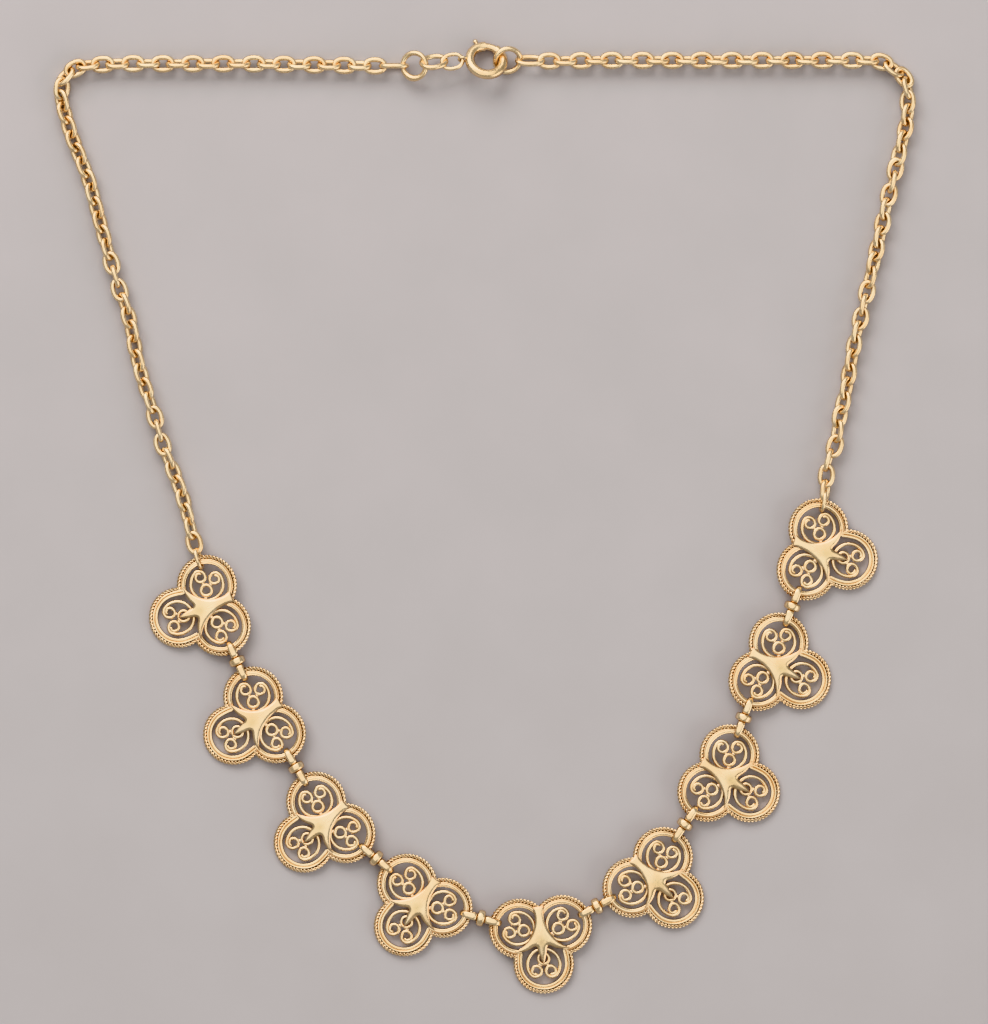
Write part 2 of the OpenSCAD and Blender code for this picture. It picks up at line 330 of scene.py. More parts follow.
def gold(name, rough, bump, crevice_shade=1.0):
    """Worn satin gold: patchy colour, painted shade in hollows, crevices and on the sides,
    fine scratches and soft dents.
    """
    material = bpy.data.materials.new(name)
    material.use_nodes = True
    nodes, links = material.node_tree.nodes, material.node_tree.links
    shader = nodes["Principled BSDF"]
    shader.inputs["Metallic"].default_value = 1.0
    where = nodes.new("ShaderNodeTexCoord").outputs["Object"]
    painted_shade_and_solder = stored(nodes, "painted_shade_and_solder")

    def field(settings, *span):
        return ranged(nodes, links, noise(nodes, links, where, *settings), *span)

    patches = field(PATCH_NOISE, 0.36, 0.64, 0.0, 1.0)
    blotches = field(BLOTCH_NOISE, 0.52, 0.72, 0.0, BLOTCH_FULL)
    # The olive share: the painted dark reflection on the plates plus random blotches
    painted_reflection_and_blotches = calculated(nodes, links, "MULTIPLY_ADD", stored(nodes, "tarnish"), PAINTED_REFLECTION_FULL,
                      blotches)
    # Painted shade in crevices, from the piece's own ambient occlusion
    crevice = nodes.new("ShaderNodeAmbientOcclusion")
    crevice.samples = CREVICE_SAMPLES
    crevice.only_local = True
    crevice.inputs["Distance"].default_value = CREVICE_WIDE
    crevices = ranged(nodes, links, crevice.outputs["AO"], 0.35, 0.8, crevice_shade, 0.0)
    dark = ranged(nodes, links, painted_shade_and_solder, 0.0, 1.0, 0.0, 1.0)
    deepest = calculated(nodes, links, "MAXIMUM", dark, crevices)
    # All painted shade, made uneven by noise, draws the colour towards DEEP
    uneven = field(PAINTED_SHADE_NOISE, 0.25, 0.6, 0.55, 1.0)
    painted_shade_share = calculated(nodes, links, "MULTIPLY", deepest, uneven)
    soldered = ranged(nodes, links, painted_shade_and_solder, -0.2, -1.0, 0.0, 1.0)

    colour = mixed(nodes, links, patches, WARM, PALE)
    for share, over in ((painted_reflection_and_blotches, OLIVE), (painted_shade_share, DEEP), (soldered, SOLDER)):
        colour = mixed(nodes, links, share, colour, over)
    links.new(colour, shader.inputs["Base Color"])

    fine = noise(nodes, links, where, *FINE_NOISE)
    roughness = ranged(nodes, links, fine, 0.3, 0.7, rough - 0.06, rough + 0.1)
    links.new(roughness, shader.inputs["Roughness"])
    dents = noise(nodes, links, where, *DENT_NOISE)
    height = nodes.new("ShaderNodeBump")
    height.inputs["Strength"].default_value = bump
    height.inputs["Distance"].default_value = BUMP_HIGH
    links.new(calculated(nodes, links, "MULTIPLY_ADD", dents, DENT_SHARE, fine),
              height.inputs["Height"])
    links.new(height.outputs["Normal"], shader.inputs["Normal"])
    return material


PLAQUE_GOLD = gold("plaque_gold_satin", 0.22, 0.11)
CONNECTOR_GOLD = gold("connector_gold_worn", 0.24, 0.14)
CHAIN_GOLD = gold("chain_gold_wire", 0.28, 0.04, 0.8)
CLASP_GOLD = gold("clasp_gold_bright", 0.25, 0.04, 0.9)

# Plaques: x, y and turn of each, then the small turns of its three scrolls. Lobe 1 hangs down.
PLACE = [
    (-40.9, -13.5, -71), (-33.4, -29.7, -58), (-23.6, -44.8, -47), (-9.7, -56.4, -34),
    (8.2, -61.2, 5), (24.8, -52.8, 45), (35.3, -38.1, 59), (42.6, -21.9, 62), (49.1, -5.3, 74),
]
SCROLL_TURNS = [
    (6, -2, -2), (0, 0, -12), (8, 4, 10), (-2, 4, 6), (4, -4, 8), (-12, 0, -4),
    (-3, -6, -2), (5, 0, 0), (2, -6, -2),
]
LOBE_TURNS = (60, 180, 300)
LEFT_LOBE, RIGHT_LOBE = 150, 30
LOBE_OUT = 3.6
# Each leans on the edge of its hanging lobe: the edge's radius and foot, and the gap below it
PLAQUE_TILT = 4.7
EDGE_R, EDGE_LOW, FLOOR_GAP = 4.38, 0.05, 0.01
PLAQUE_LIFT = (LOBE_OUT + EDGE_R) * math.sin(math.radians(PLAQUE_TILT)) \
    - EDGE_LOW * math.cos(math.radians(PLAQUE_TILT)) + FLOOR_GAP


def plaque_place(k):
    x, y, angle = PLACE[k]
    return move(x, y, PLAQUE_LIFT) @ turn(2, angle) @ turn(0, PLAQUE_TILT)


def lobe_place(lobe, extra=0.0):
    return turn(2, LOBE_TURNS[lobe]) @ move(0, LOBE_OUT) @ turn(2, extra)


def lobe_centre(k, lobe):
    return np.array(PLACE[k][:2]) + LOBE_OUT * direction(lobe + PLACE[k][2])


# Border bands: middle radius, half width, foot, and the angles where their arcs end
BAND_R, BAND_HALF, BAND_LOW = 3.45, 0.39, 0.03
BAND_ARM_END, BAND_NOTCH_END = 217.0, 211.5
# Smooth band: height of its edges and of its crown above them, and its fine lines, each with
# its place across the band from -1 to 1 and its depth; the lines also get painted shade
BAND_EDGE, BAND_CROWN = 0.46, 0.27
BAND_LINES = ((0.48, 1.0), (-0.42, 0.7))
LINE_HALF, LINE_DEEP, LINE_DARK = 0.1, 0.08, 0.95
# Grooved band of the hanging lobe, and the stretch that it runs up beside the cover plate
GROOVED_TOP, GROOVED_EDGE, GROOVED_FALL = 0.71, 0.5, 0.06
GROOVE_AT, GROOVE_HALF, GROOVE_DEEP = 0.12, 0.2, 0.13
# Painted shade in the groove: how dark, and how wide
GROOVE_DARK, GROOVE_DARK_HALF = 0.6, 0.13
SHANK_LONG, SHANK_GAP, SHANK_IN = 1.85, 0.12, 0.2
# Rope edge: middle radius, half width, height of its middle, and its strands. In a rope of
# half width 1, a strand's middle and radius, the core, and the painted shade in the grooves
ROPE_R, ROPE_HALF, ROPE_MID = 4.1, 0.31, 0.4
ROPE_FIRST, ROPE_LAST, ROPE_STEP = -21.5, 201.5, 0.075
STRANDS, STRAND_PITCH = 3, 0.525
STRAND_OUT, STRAND_R, CORE_R = 0.545, 0.455, 0.5
ROPE_DARK, DARK_FROM, DARK_SPAN = 0.65, 0.92, 0.16
# Cover plate: height, fall outward, its rounded edge, and the square arm's end and half width
PLATE_TOP, PLATE_LOW, PLATE_DROP = 1.16, 0.5, 0.009
BEVEL_DEEP, BEVEL_WIDE, BEVEL_POWER = 0.21, 0.55, 2.0
# Painted shade along the plate's edges: how far in it reaches, and how dark it is
EDGE_WIDE, EDGE_DARK = 0.2, 0.8
ARM_END, ARM_HALF = 4.8, 0.66
# Its side follows a circle about the middle of a lobe, in to this angle
HOLLOW_R, HOLLOW_OUT, HOLLOW_LAST = 5.36, 6.93, 249
# Then it bends: the pull and the end of each curve, and the corners of the pointed arm
BENDS = (([2.45, -1.75], [1.3, -1.0]), ([0.76, -0.7], [0.64, -1.5]))
DAGGER = ([0.5, -2.2], [0.3, -2.9], [0, -3.66])
# How far the end of each plate's square arm stands to the right, as the hand left it
ARM_LEAN = (-0.4, -0.4, 0.0, 0.1, -0.1, -0.1, 0.2, 0.05, 0.55)
# Scroll: wire radius and height, outer arc, and the radii that it curls through
WIRE, WIRE_MID, CURL_LIFT = 0.26, 0.475, 0.05
SCROLL_R, SCROLL_RISE, CURL_FIRST = 2.36, 0.16, 36
CURL_R, INNER_R, TIP_R = 0.88, 0.7, 0.5
RING_R, RING_DOWN = 0.77, -0.75


def band_section():
    """Smooth low band with two fine lines along it, and painted shade in the lines."""
    u = np.sin(np.linspace(-1, 1, 25) * math.pi / 2)
    line = sum(deep * np.exp(-((u - at) / LINE_HALF) ** 2) for at, deep in BAND_LINES)
    top = BAND_EDGE + BAND_CROWN * np.clip(1 - np.abs(u) ** 5, 0, 1) ** 0.5 - LINE_DEEP * line
    return closed_section(u * BAND_HALF, top, np.clip(LINE_DARK * line, 0, 1), 0.96)


def grooved_section():
    """Flatter band with one shallow groove along it, and painted shade in the groove."""
    u = np.linspace(-1, 1, 23)
    top = GROOVED_TOP - GROOVE_DEEP * np.exp(-((u - GROOVE_AT) / GROOVE_HALF) ** 2) \
        - GROOVED_FALL * np.abs(u) ** 6
    shade = GROOVE_DARK * np.exp(-((u - GROOVE_AT) / GROOVE_DARK_HALF) ** 2)
    top[[0, -1]] = GROOVED_EDGE
    shade[[0, -1]] = 0.5
    return closed_section(u * BAND_HALF * 0.98, top, shade, 0.95)


def closed_section(across, top, shade, foot):
    """A band's section with painted shade on its foot, and the painted shade of its points."""
    half = BAND_HALF * foot
    base = np.array([[half, BAND_LOW], [-half, BAND_LOW]])
    return np.concatenate([np.stack([across, top], -1), base]), np.append(shade, [1, 1])


def rope_sections(length, count):
    """Outline of the twisted strands at each ring of a rope, and the painted shade in its
    grooves.
    """
    sides = 16
    around = np.arange(sides) * TAU / sides
    along = np.linspace(0, length, count)
    twist = -TAU * along / (STRANDS * STRAND_PITCH)
    period = TAU / STRANDS
    off = (around[None, :] - twist[:, None] + period / 2) % period - period / 2
    inside = np.clip(STRAND_R ** 2 - (STRAND_OUT * np.sin(off)) ** 2, 0, None)
    reach = np.clip(STRAND_OUT * np.cos(off) + np.sqrt(inside), CORE_R, None)
    section = circle(1.0, sides)[None] * (ROPE_HALF * reach)[..., None]
    return section, ROPE_DARK * np.clip((DARK_FROM - reach) / DARK_SPAN, 0, 1)


def scroll_path():
    """Flat points of the whole scroll wire, and how thick it is at each."""
    middle = np.array([0, SCROLL_RISE])
    curl = middle + (SCROLL_R - CURL_R) * direction(CURL_FIRST)
    inner = curl + [INNER_R - CURL_R, 0]
    tip = inner + [INNER_R - TIP_R, 0]
    parts = [
        (arc(middle, SCROLL_R, -90, CURL_FIRST, 0.16), 1.0, 1.0),
        (arc(curl, CURL_R, CURL_FIRST, 180, 0.09), 1.0, 0.97),
        (arc(inner, INNER_R, 180, 360, 0.08), 0.97, 0.92),
        (arc(tip, TIP_R, 360, 462, 0.07), 0.92, 0.85),
    ]
    flat, wide = parts[0][0][:1], np.ones(1)
    for points, first, last in parts:
        flat = np.concatenate([flat, points[1:]])
        wide = np.append(wide, np.linspace(first, last, len(points))[1:])
    mirrored = flat[:0:-1] * [-1, 1]
    return np.concatenate([mirrored, flat]), np.concatenate([wide[:0:-1], wide])


def plate_outline():
    """Outline of the cover plate, counter-clockwise from the end of its square arm."""
    middle = HOLLOW_OUT * direction(RIGHT_LOBE)
    first = 180 - math.degrees(math.asin((ARM_END - middle[1]) / HOLLOW_R))
    side = [middle + HOLLOW_R * direction(a) for a in np.linspace(first, HOLLOW_LAST, 62)]
    start = side[-1]
    for belly, root in BENDS:
        belly, root = np.array(belly), np.array(root)
        for t in np.linspace(0, 1, 19)[1:]:
            side.append((1 - t) ** 2 * start + 2 * t * (1 - t) * belly + t * t * root)
        start = root
    for corner in DAGGER:
        side += [start + (corner - start) * t for t in np.linspace(0, 1, 8)[1:]]
        start = np.array(corner)
    side = np.array(side)
    top = np.stack([np.linspace(-ARM_HALF, ARM_HALF, 13), np.full(13, ARM_END)], -1)
    return np.concatenate([top, side, side[-2::-1] * [-1, 1]])[::-1]


def resampled(loop, step):
    """Points along a closed loop at an even step."""
    loop = np.concatenate([loop, loop[:1]])
    run = np.append(0, np.cumsum(np.linalg.norm(np.diff(loop, axis=0), axis=1)))
    at = np.arange(0, run[-1], step)
    return np.stack([np.interp(at, run, loop[:, k]) for k in range(2)], -1)


def depth_inside(flat, outline):
    """How far points lie from an outline, eased so that the plate's ridges come out rounded."""
    step, batch = 0.025, 500
    edge = resampled(outline, step)
    depth = np.zeros(len(flat))
    for k in range(0, len(flat), batch):
        apart = np.linalg.norm(flat[k:k + batch, None] - edge[None], axis=2)
        near = np.sum(step / np.maximum(apart, 1e-4) ** 3, 1)
        depth[k:k + batch] = np.sqrt(2) * near ** -0.5
    return depth


def plate_skin():
    """The domed cover plate, made once for all plaques: points, faces, painted shade and a
    painted dark reflection.
    """
    outline = plate_outline()
    n = len(outline)
    share = 1 - (1 - np.linspace(0, 1, 17)[1:]) ** 1.9
    flat = (share[:, None, None] * outline[None]).reshape(-1, 2)
    depth = depth_inside(flat, outline)
    depth[-n:] = 0
    bevel = BEVEL_DEEP * (1 - np.clip(depth / BEVEL_WIDE, 0, 1)) ** BEVEL_POWER
    height = PLATE_TOP - bevel - PLATE_DROP * np.sum(flat ** 2, 1)
    middles = [[0, 0, height[:n].mean()], [0, 0, PLATE_LOW]]
    points = np.concatenate([lift(flat, height), lift(outline, PLATE_LOW), middles])
    rings = len(share) + 1
    tris = end_fans(rings * n, n)
    # Painted shade along the edges, and full painted shade on the walls and underside
    dark = np.clip(1 - depth / EDGE_WIDE, 0, 1) * EDGE_DARK
    shade = np.concatenate([dark, np.ones(n), [0, 1]])
    # A painted dark olive reflection in the middle of the plate
    spread = np.sum((flat - [0, -0.3]) ** 2 * [1.0, 0.7], 1)
    tarnish = np.concatenate([np.exp(-spread / 0.75), np.zeros(n), [1, 0]])
    return points, grid_faces(rings, n), tris, shade, tarnish


PLATE = plate_skin()


def make_plaque(k):
    shell = Shell()
    place = plaque_place(k)
    band, band_shade = band_section()
    grooved, grooved_shade = grooved_section()
    for lobe in range(3):
        here = place @ lobe_place(lobe)
        if lobe == 1:
            bend = arc([0, 0], BAND_R, 0, 180, 0.12)
            down = np.linspace(SHANK_LONG, SHANK_GAP, 14)
            inward = SHANK_IN * (down / SHANK_LONG) ** 2
            first = np.stack([BAND_R - inward, -down], -1)
            path = np.concatenate([first, bend, (first * [-1, 1])[::-1]])
            sweep(shell, lift(path, 0), UP, grooved, place=here, shade=grooved_shade)
        else:
            ends = [180 - BAND_ARM_END, BAND_NOTCH_END]
            if lobe == 2:
                ends = [180 - BAND_NOTCH_END, BAND_ARM_END]
            path = arc([0, 0], BAND_R, *ends, 0.15)
            sweep(shell, lift(path, 0), UP, band, place=here, shade=band_shade)
        path = arc([0, 0], ROPE_R, ROPE_FIRST, ROPE_LAST, ROPE_STEP)
        length = ROPE_R * math.radians(ROPE_LAST - ROPE_FIRST)
        section, dark = rope_sections(length, len(path))
        sweep(shell, lift(path, ROPE_MID), UP, section, place=here, shade=dark, side=ROPE_SIDE)
        here = place @ lobe_place(lobe, SCROLL_TURNS[k][lobe])
        flat, wide = scroll_path()
        curled = np.clip(np.abs(np.linspace(-1, 1, len(flat))) * 2 - 1, 0, 1)
        path, scale = round_ended(lift(flat, WIRE_MID + CURL_LIFT * curled), WIRE, wide)
        wire = circle(WIRE, 12)
        sweep(shell, path, UP, wire, scale=scale, place=here, side=SCROLL_SIDE)
        ring = lift(arc([0, RING_DOWN], RING_R, 0, 360, 0.08)[:-1], WIRE_MID)
        sweep(shell, ring, UP, wire, closed=True, place=here, side=SCROLL_SIDE)
        # Solder between the ring and both curls, at the ring's foot, and in the notch beside
        for side in (-1, 1):
            size = rng.uniform(0.24, 0.32)
            blob(shell, [side * 0.56, 0.16, WIRE_MID], [size, size, 0.2], here, -1)
        blob(shell, [0, -1.86, WIRE_MID - 0.02], [0.32, 0.4, 0.17], here, -1)
        notch = place @ turn(2, LOBE_TURNS[lobe] + 60)
        blob(shell, [0, 4.28, 0.32], [0.34, 0.42, 0.27], notch, -0.7)
    points, quads, tris, shade, tarnish = PLATE
    points = points.copy()
    points[:, 0] += ARM_LEAN[k] * (np.clip(points[:, 1], 0, None) / ARM_END) ** 2
    shell.add(points, quads, tris, place, shade, tarnish)
    name = f"plaque_{k + 1}"
    shell.make(f"{name}_openwork", PLAQUE_GOLD, "necklace", [name], 42)


for k in range(len(PLACE)):
    make_plaque(k)

# Connectors between the plaques: height of their axis, and the collar with its rounded face
CONNECTOR_HIGH = 1.2
COLLAR_HALF, COLLAR_EDGE, COLLAR_CROWN, COLLAR_BORE = 0.54, 0.93, 0.27, 0.5
# The turned neck under the collar: x, radius and painted shade
NECK = [
    (-0.84, 0, 0.1), (-0.84, 0.5, 0.1), (-0.74, 0.55, 0.1), (-0.63, 0.47, 0.7), (-0.4, 0.47, 0.7),
    (0.4, 0.47, 0.7), (0.63, 0.47, 0.7), (0.74, 0.55, 0.1), (0.84, 0.5, 0.1), (0.84, 0, 0.1),
]
# Eyes: ends and height of the strap's middle line, and the radii that its corners bend at
EYE_ROOT, EYE_TIP, EYE_HIGH, EYE_BEND, EYE_DIP = 0.6, 2.98, 0.81, 0.55, 1.0
EYE_MIDDLE, EYE_NARROWS = 1.7, 1.2
# The strap's half width and what it loses at the tip; its half thickness and what it gains on top
STRAP_HALF, STRAP_LESS, STRAP_THICK, STRAP_MORE = 0.52, 0.15, 0.18, 0.07


def eye_strap():
    """The flat strap that is bent into an eye: middle line, section and painted shade at each
    point.
    """
    corners = [(EYE_TIP, -EYE_HIGH, -90, EYE_BEND), (EYE_TIP, EYE_HIGH, 0, EYE_DIP),
               (EYE_ROOT, EYE_HIGH, 90, EYE_BEND), (EYE_ROOT, -EYE_HIGH, 180, EYE_BEND)]
    loop = []
    for x, z, first, bend in corners:
        centre = [x - math.copysign(bend, x - EYE_MIDDLE), z - math.copysign(bend, z)]
        loop.append(arc(centre, bend, first, first + 90, 0.09))
    dense = resampled(np.concatenate(loop), 0.11)
    out, high = dense.T
    tip = np.clip((out - EYE_NARROWS) / (EYE_TIP - EYE_NARROWS), 0, 1)
    wide = STRAP_HALF - STRAP_LESS * tip ** 2
    thick = STRAP_THICK + STRAP_MORE * np.clip((high - 0.3) / 0.4, 0, 1)
    section = rounded_bar(18, 2.2)[None] * np.stack([thick, wide], -1)[:, None]
    # Painted shade, darker towards the strap's lower side
    shade = np.clip(1 - (high + 0.6) / 1.1, 0, 1) * 0.8
    return np.stack([out, np.zeros(len(out)), high], -1), section, shade


def make_connector(k):
    shell = Shell()
    start, end = lobe_centre(k, RIGHT_LOBE), lobe_centre(k + 1, LEFT_LOBE)
    middle, along = (start + end) / 2, end - start
    heading = math.degrees(math.atan2(along[1], along[0]))
    place = move(*middle, CONNECTOR_HIGH) @ turn(2, heading)
    x = np.linspace(-1, 1, 15)
    curve = COLLAR_EDGE + COLLAR_CROWN * np.sqrt(np.clip(1 - np.abs(x) ** 2.6, 0, 1))
    profile = [(-COLLAR_HALF, 0), (-COLLAR_HALF, COLLAR_BORE)] \
        + list(zip(x * COLLAR_HALF, curve)) + [(COLLAR_HALF, COLLAR_BORE), (COLLAR_HALF, 0)]
    # Painted shade on the collar's flat faces and at its bore
    shade = [1, 1, 0.7] + [0] * (len(x) - 2) + [0.7, 1, 1]
    lathe(shell, profile, 48, place, np.array(shade, float))
    neck = np.array(NECK)
    lathe(shell, neck[:, :2], 32, place, neck[:, 2])
    path, section, shade = eye_strap()
    for half in (0, 180):
        sweep(shell, path, np.array([0.0, 1.0, 0.0]), section, closed=True,
              place=place @ turn(2, half), shade=shade)
    name = f"connector_{k + 1}"
    shell.make(f"{name}_turned", CONNECTOR_GOLD, "necklace", [name], 58)


for k in range(len(PLACE) - 1):
    make_connector(k)

# Chains: the same routes as the tubes that stand for them
ROUTE_LEFT = [
    (-12.5, 65.2), (-16.6, 65.2), (-22, 65.3), (-28, 65.4), (-34, 65.5), (-40, 65.5),
    (-46, 65.5), (-52, 65.5), (-57.2, 65.3), (-59.1, 64.9), (-60.8, 63.6), (-61.6, 62.2),
    (-61.5, 60.3), (-60.8, 58.3), (-59.7, 54.7), (-57.5, 49.1), (-56.7, 46.3), (-55.7, 42.5),
    (-54.7, 38.9), (-53, 33.1), (-51.5, 28.6), (-50.4, 23), (-49.2, 18.8), (-47.8, 14.5),
    (-46.5, 9.9), (-45, 6.2), (-43.7, 2.5), (-42.6, -1.8), (-42.2, -4.2),
]
ROUTE_RIGHT = [
    (5.9, 65.9), (10.9, 65.9), (17, 66), (23, 66), (29, 66), (35, 66), (41, 66), (47, 66),
    (53, 66), (57.3, 65.8), (59.1, 64.8), (60.7, 63.5), (61.4, 61.8), (61.6, 60.2),
    (61.4, 58), (60.9, 56.2), (60.1, 52.9), (58.4, 46.2), (57.5, 42), (56.3, 36.8),
    (55.3, 32.5), (54.4, 28.7), (53.4, 24.5), (52.3, 18.3), (51.3, 14.1), (50.7, 10.3),
    (49.7, 7.9), (49.2, 4.3),
]
# Links: length, width and wire. Each chain's first link is longer, to reach the clasp's rings.
LINK_LONG, LINK_WIDE, LINK_WIRE = 3.6, 2.56, 0.73
FIRST_LONG = 4.4
END_LINK = (3.34, 2.52, 0.56)
END_LINK_OUT, END_LINK_HIGH = 4.04, 1.235
# Below 1, an oval is a little squarer than an ellipse
OVAL, OVAL_POINTS = 0.9, 40
# Half the stretch that gives a link its heading, and the spread of its roll in degrees
LINK_REACH, ROLL_SPREAD = 1.1, 4
# How much lower than its neighbours a link may lie, and the x that link middles stay between
LINK_STEP = 0.1
CHAIN_SIDES = (-61.25, 61.2)


def link_loop(long, wide, wire):
    """Middle line of an oval link in the XY plane, long along X."""
    a = np.arange(OVAL_POINTS) * TAU / OVAL_POINTS
    c, s = np.cos(a), np.sin(a)
    x = (long - wire) / 2 * np.sign(c) * np.abs(c) ** OVAL
    return lift(np.stack([x, (wide - wire) / 2 * np.sign(s) * np.abs(s) ** OVAL], -1), 0)


def add_link(shell, centre, way, roll, sizes, sides=12):
    """One link with its length along a way and its width rolled up from level."""
    way = unit(way)
    level = unit(np.cross(UP, way))
    rise = np.cross(way, level)
    c, s = math.cos(math.radians(roll)), math.sin(math.radians(roll))
    across = c * level + s * rise
    place = np.eye(4)
    place[:3, :3] = np.stack([way, across, np.cross(way, across)], 1)
    place[:3, 3] = centre
    wire = circle(sizes[2] / 2, sides)
    sweep(shell, link_loop(*sizes), UP, wire, closed=True, place=place, side=LINK_SIDE)


def smooth_route(route):
    """Dense points through the route's points, and the run of length along them."""
    p = np.array(route, float)
    p = np.concatenate([[2 * p[0] - p[1]], p, [2 * p[-1] - p[-2]]])
    t = np.linspace(0, 1, 13)[:-1, None]
    dense = []
    for a, b, c, d in zip(p[:-3], p[1:-2], p[2:-1], p[3:]):
        dense.append(0.5 * (2 * b + (c - a) * t + (2 * a - 5 * b + 4 * c - d) * t ** 2
                            + (3 * b - a - 3 * c + d) * t ** 3))
    dense = np.concatenate(dense + [p[-2:-1]])
    run = np.append(0, np.cumsum(np.linalg.norm(np.diff(dense, axis=0), axis=1)))
    return dense, run


def chain(side, first, last, route, links):
    """Links along a route, each with its run from the first point and its roll."""
    dense, run = smooth_route([first] + route + [last])
    at, rolls = np.array(links, float).T
    ends = np.clip([at - LINK_REACH, at, at + LINK_REACH], 0, run[-1])
    behind, where, ahead = (
        np.stack([np.interp(a, run, dense[:, k]) for k in range(2)], -1) for a in ends)
    past = np.clip(at - run[-1], 0, None)[:, None]
    where = where + past * unit(dense[-1] - dense[-2])
    where[:, 0] = np.clip(where[:, 0], *CHAIN_SIDES)
    rolls = rolls + rng.uniform(-ROLL_SPREAD, ROLL_SPREAD, len(at))
    resting = (LINK_WIDE - LINK_WIRE) / 2 * np.abs(np.sin(np.radians(rolls))) + LINK_WIRE / 2
    near = np.stack([np.roll(resting, 1), resting, np.roll(resting, -1)])
    near[0, 0], near[2, -1] = resting[0], resting[-1]
    height = np.maximum(resting, near.max(0) - LINK_STEP)
    shell = Shell()
    for k in range(len(at)):
        way = lift((ahead[k] - behind[k])[None], 0)[0]
        sizes = (FIRST_LONG if k == 0 else LINK_LONG, LINK_WIDE, LINK_WIRE)
        add_link(shell, np.append(where[k], height[k]), way, rolls[k], sizes)
    name = f"chain_{side}"
    shell.make(f"{name}_links", CHAIN_GOLD, "necklace", [name])


# Each link: its run in mm, and its roll, 0 for a link that lies flat
LEFT_LINKS = [
    (0.45, 80), (3.19, 0), (5.47, 62), (7.64, 0), (9.86, 62), (11.99, 0),
    (14.17, 62), (16.34, 0), (18.56, 62), (20.73, 0), (22.91, 62), (25.16, 0),
    (27.38, 62), (29.55, 0), (31.73, 62), (33.9, 0), (36.03, 62), (38.21, 0),
    (40.5, 60), (42.63, 0), (44.78, 60), (46.66, -14), (48.53, 50), (50.53, -30),
    (52.3, 45), (54.16, -42), (56.33, 36), (58.43, -44), (60.44, 34), (62.49, -44),
    (64.55, 36), (66.6, -44), (68.66, 36), (70.76, -42), (72.89, 40), (74.89, -60),
    (76.99, 6), (79.02, 84), (81.05, -4), (83.16, 58), (85.22, -36), (87.26, 42),
    (89.44, -40), (91.61, 40), (93.67, -42), (95.84, 36), (97.95, -62), (100.19, 5),
    (102.22, 82), (104.3, -3), (106.47, 58), (108.53, -34), (110.71, 42), (112.88, -38),
    (114.96, 44), (117.12, -56), (119.26, 6),
]
RIGHT_LINKS = [
    (0.64, -50), (3.45, 0), (5.74, -64), (8.02, 0), (10.28, -64), (12.51, 0),
    (14.64, -64), (16.94, 0), (19.11, -64), (21.24, 0), (23.34, -64), (25.56, 0),
    (27.69, -64), (29.91, 0), (32.04, -64), (34.26, 0), (36.48, -64), (38.61, 0),
    (40.74, -64), (42.96, 0), (45.09, -64), (47.31, 0), (49.44, -64), (51.58, 4),
    (53.61, -52), (55.53, -18), (57.25, -60), (59.23, 28), (61.12, -50), (63.22, 34),
    (65.15, -52), (67.13, 42), (69.27, -10), (71.17, 80), (73.12, 0), (75.21, -58),
    (77.33, 24), (79.34, -56), (81.27, 34), (83.23, -38), (85.32, 60), (87.51, 4),
    (89.46, -72), (91.49, 14), (93.47, -62), (95.53, 34), (97.61, -50), (99.72, 36),
    (101.78, -50), (103.88, 40), (105.97, -30), (108.11, 60), (110.32, 3), (112.56, -78),
    (114.83, 8), (117.07, -60),
]
# The first and last points given here, where the end links hook, replace the routes' own
chain("left", (-12.71, 65.2), (-42.03, -4.03), ROUTE_LEFT[1:-1], LEFT_LINKS)
chain("right", (5.89, 65.97), (49.31, 4.31), ROUTE_RIGHT[1:-1], RIGHT_LINKS)


def make_end_link(side, k, lobe, way, roll):
    """The link through the border of an end plaque, at an angle seen from the lobe's middle."""
    shell = Shell()
    centre = np.append(lobe_centre(k, lobe) + END_LINK_OUT * direction(way), END_LINK_HIGH)
    add_link(shell, centre, np.append(direction(way), 0), roll, END_LINK, 14)
    name = f"end_link_{side}"
    shell.make(f"{name}_wire", CHAIN_GOLD, "necklace", [name])


make_end_link("left", 0, LEFT_LOBE, 107, 76)
make_end_link("right", len(PLACE) - 1, RIGHT_LOBE, 80, 98)


# Clasp: rings, small links, the bolt ring and its bolt
def make_ring(name, place, radius, wire, swell=0.0):
    """A round ring, a little uneven, whose wire may swell at one place."""
    shell = Shell()
    ring = lift(arc([0, 0], radius, 0, 360, 0.12)[:-1], 0)
    around = np.linspace(0, TAU, len(ring), endpoint=False)
    uneven = 1 + 0.02 * np.sin(around * 3 + radius) + swell * np.exp(-((around - 4.5) / 0.6) ** 2)
    sweep(shell, ring, UP, circle(wire / 2, 18), closed=True, scale=uneven, place=place,
          side=RING_SIDE)
    shell.make(f"{name}_wire", CLASP_GOLD, "necklace", [name])


def make_oval(name, place, sizes):
    shell = Shell()
    wire = circle(sizes[2] / 2, 16)
    sweep(shell, link_loop(*sizes), UP, wire, closed=True, place=place, side=RING_SIDE)
    shell.make(f"{name}_wire", CLASP_GOLD, "necklace", [name])


make_ring("catch_ring", move(-10.19, 65.18, 1.78) @ turn(1, -22) @ turn(0, 7), 1.82, 0.74, 0.3)
make_ring("jump_ring", move(3.3, 65.97, 1.4) @ turn(2, 19.5) @ turn(0, 30.8), 1.83, 0.76)
make_oval("clasp_link_a", move(-7.37, 65.66, 2.3) @ turn(2, 14) @ turn(1, 16) @ turn(0, -49),
          (4.3, 3.5, 0.74))
make_oval("clasp_link_b", move(-4.7, 65.7, 2.4) @ turn(2, 11) @ turn(1, 1) @ turn(0, -5),
          (3.54, 2.64, 0.57))

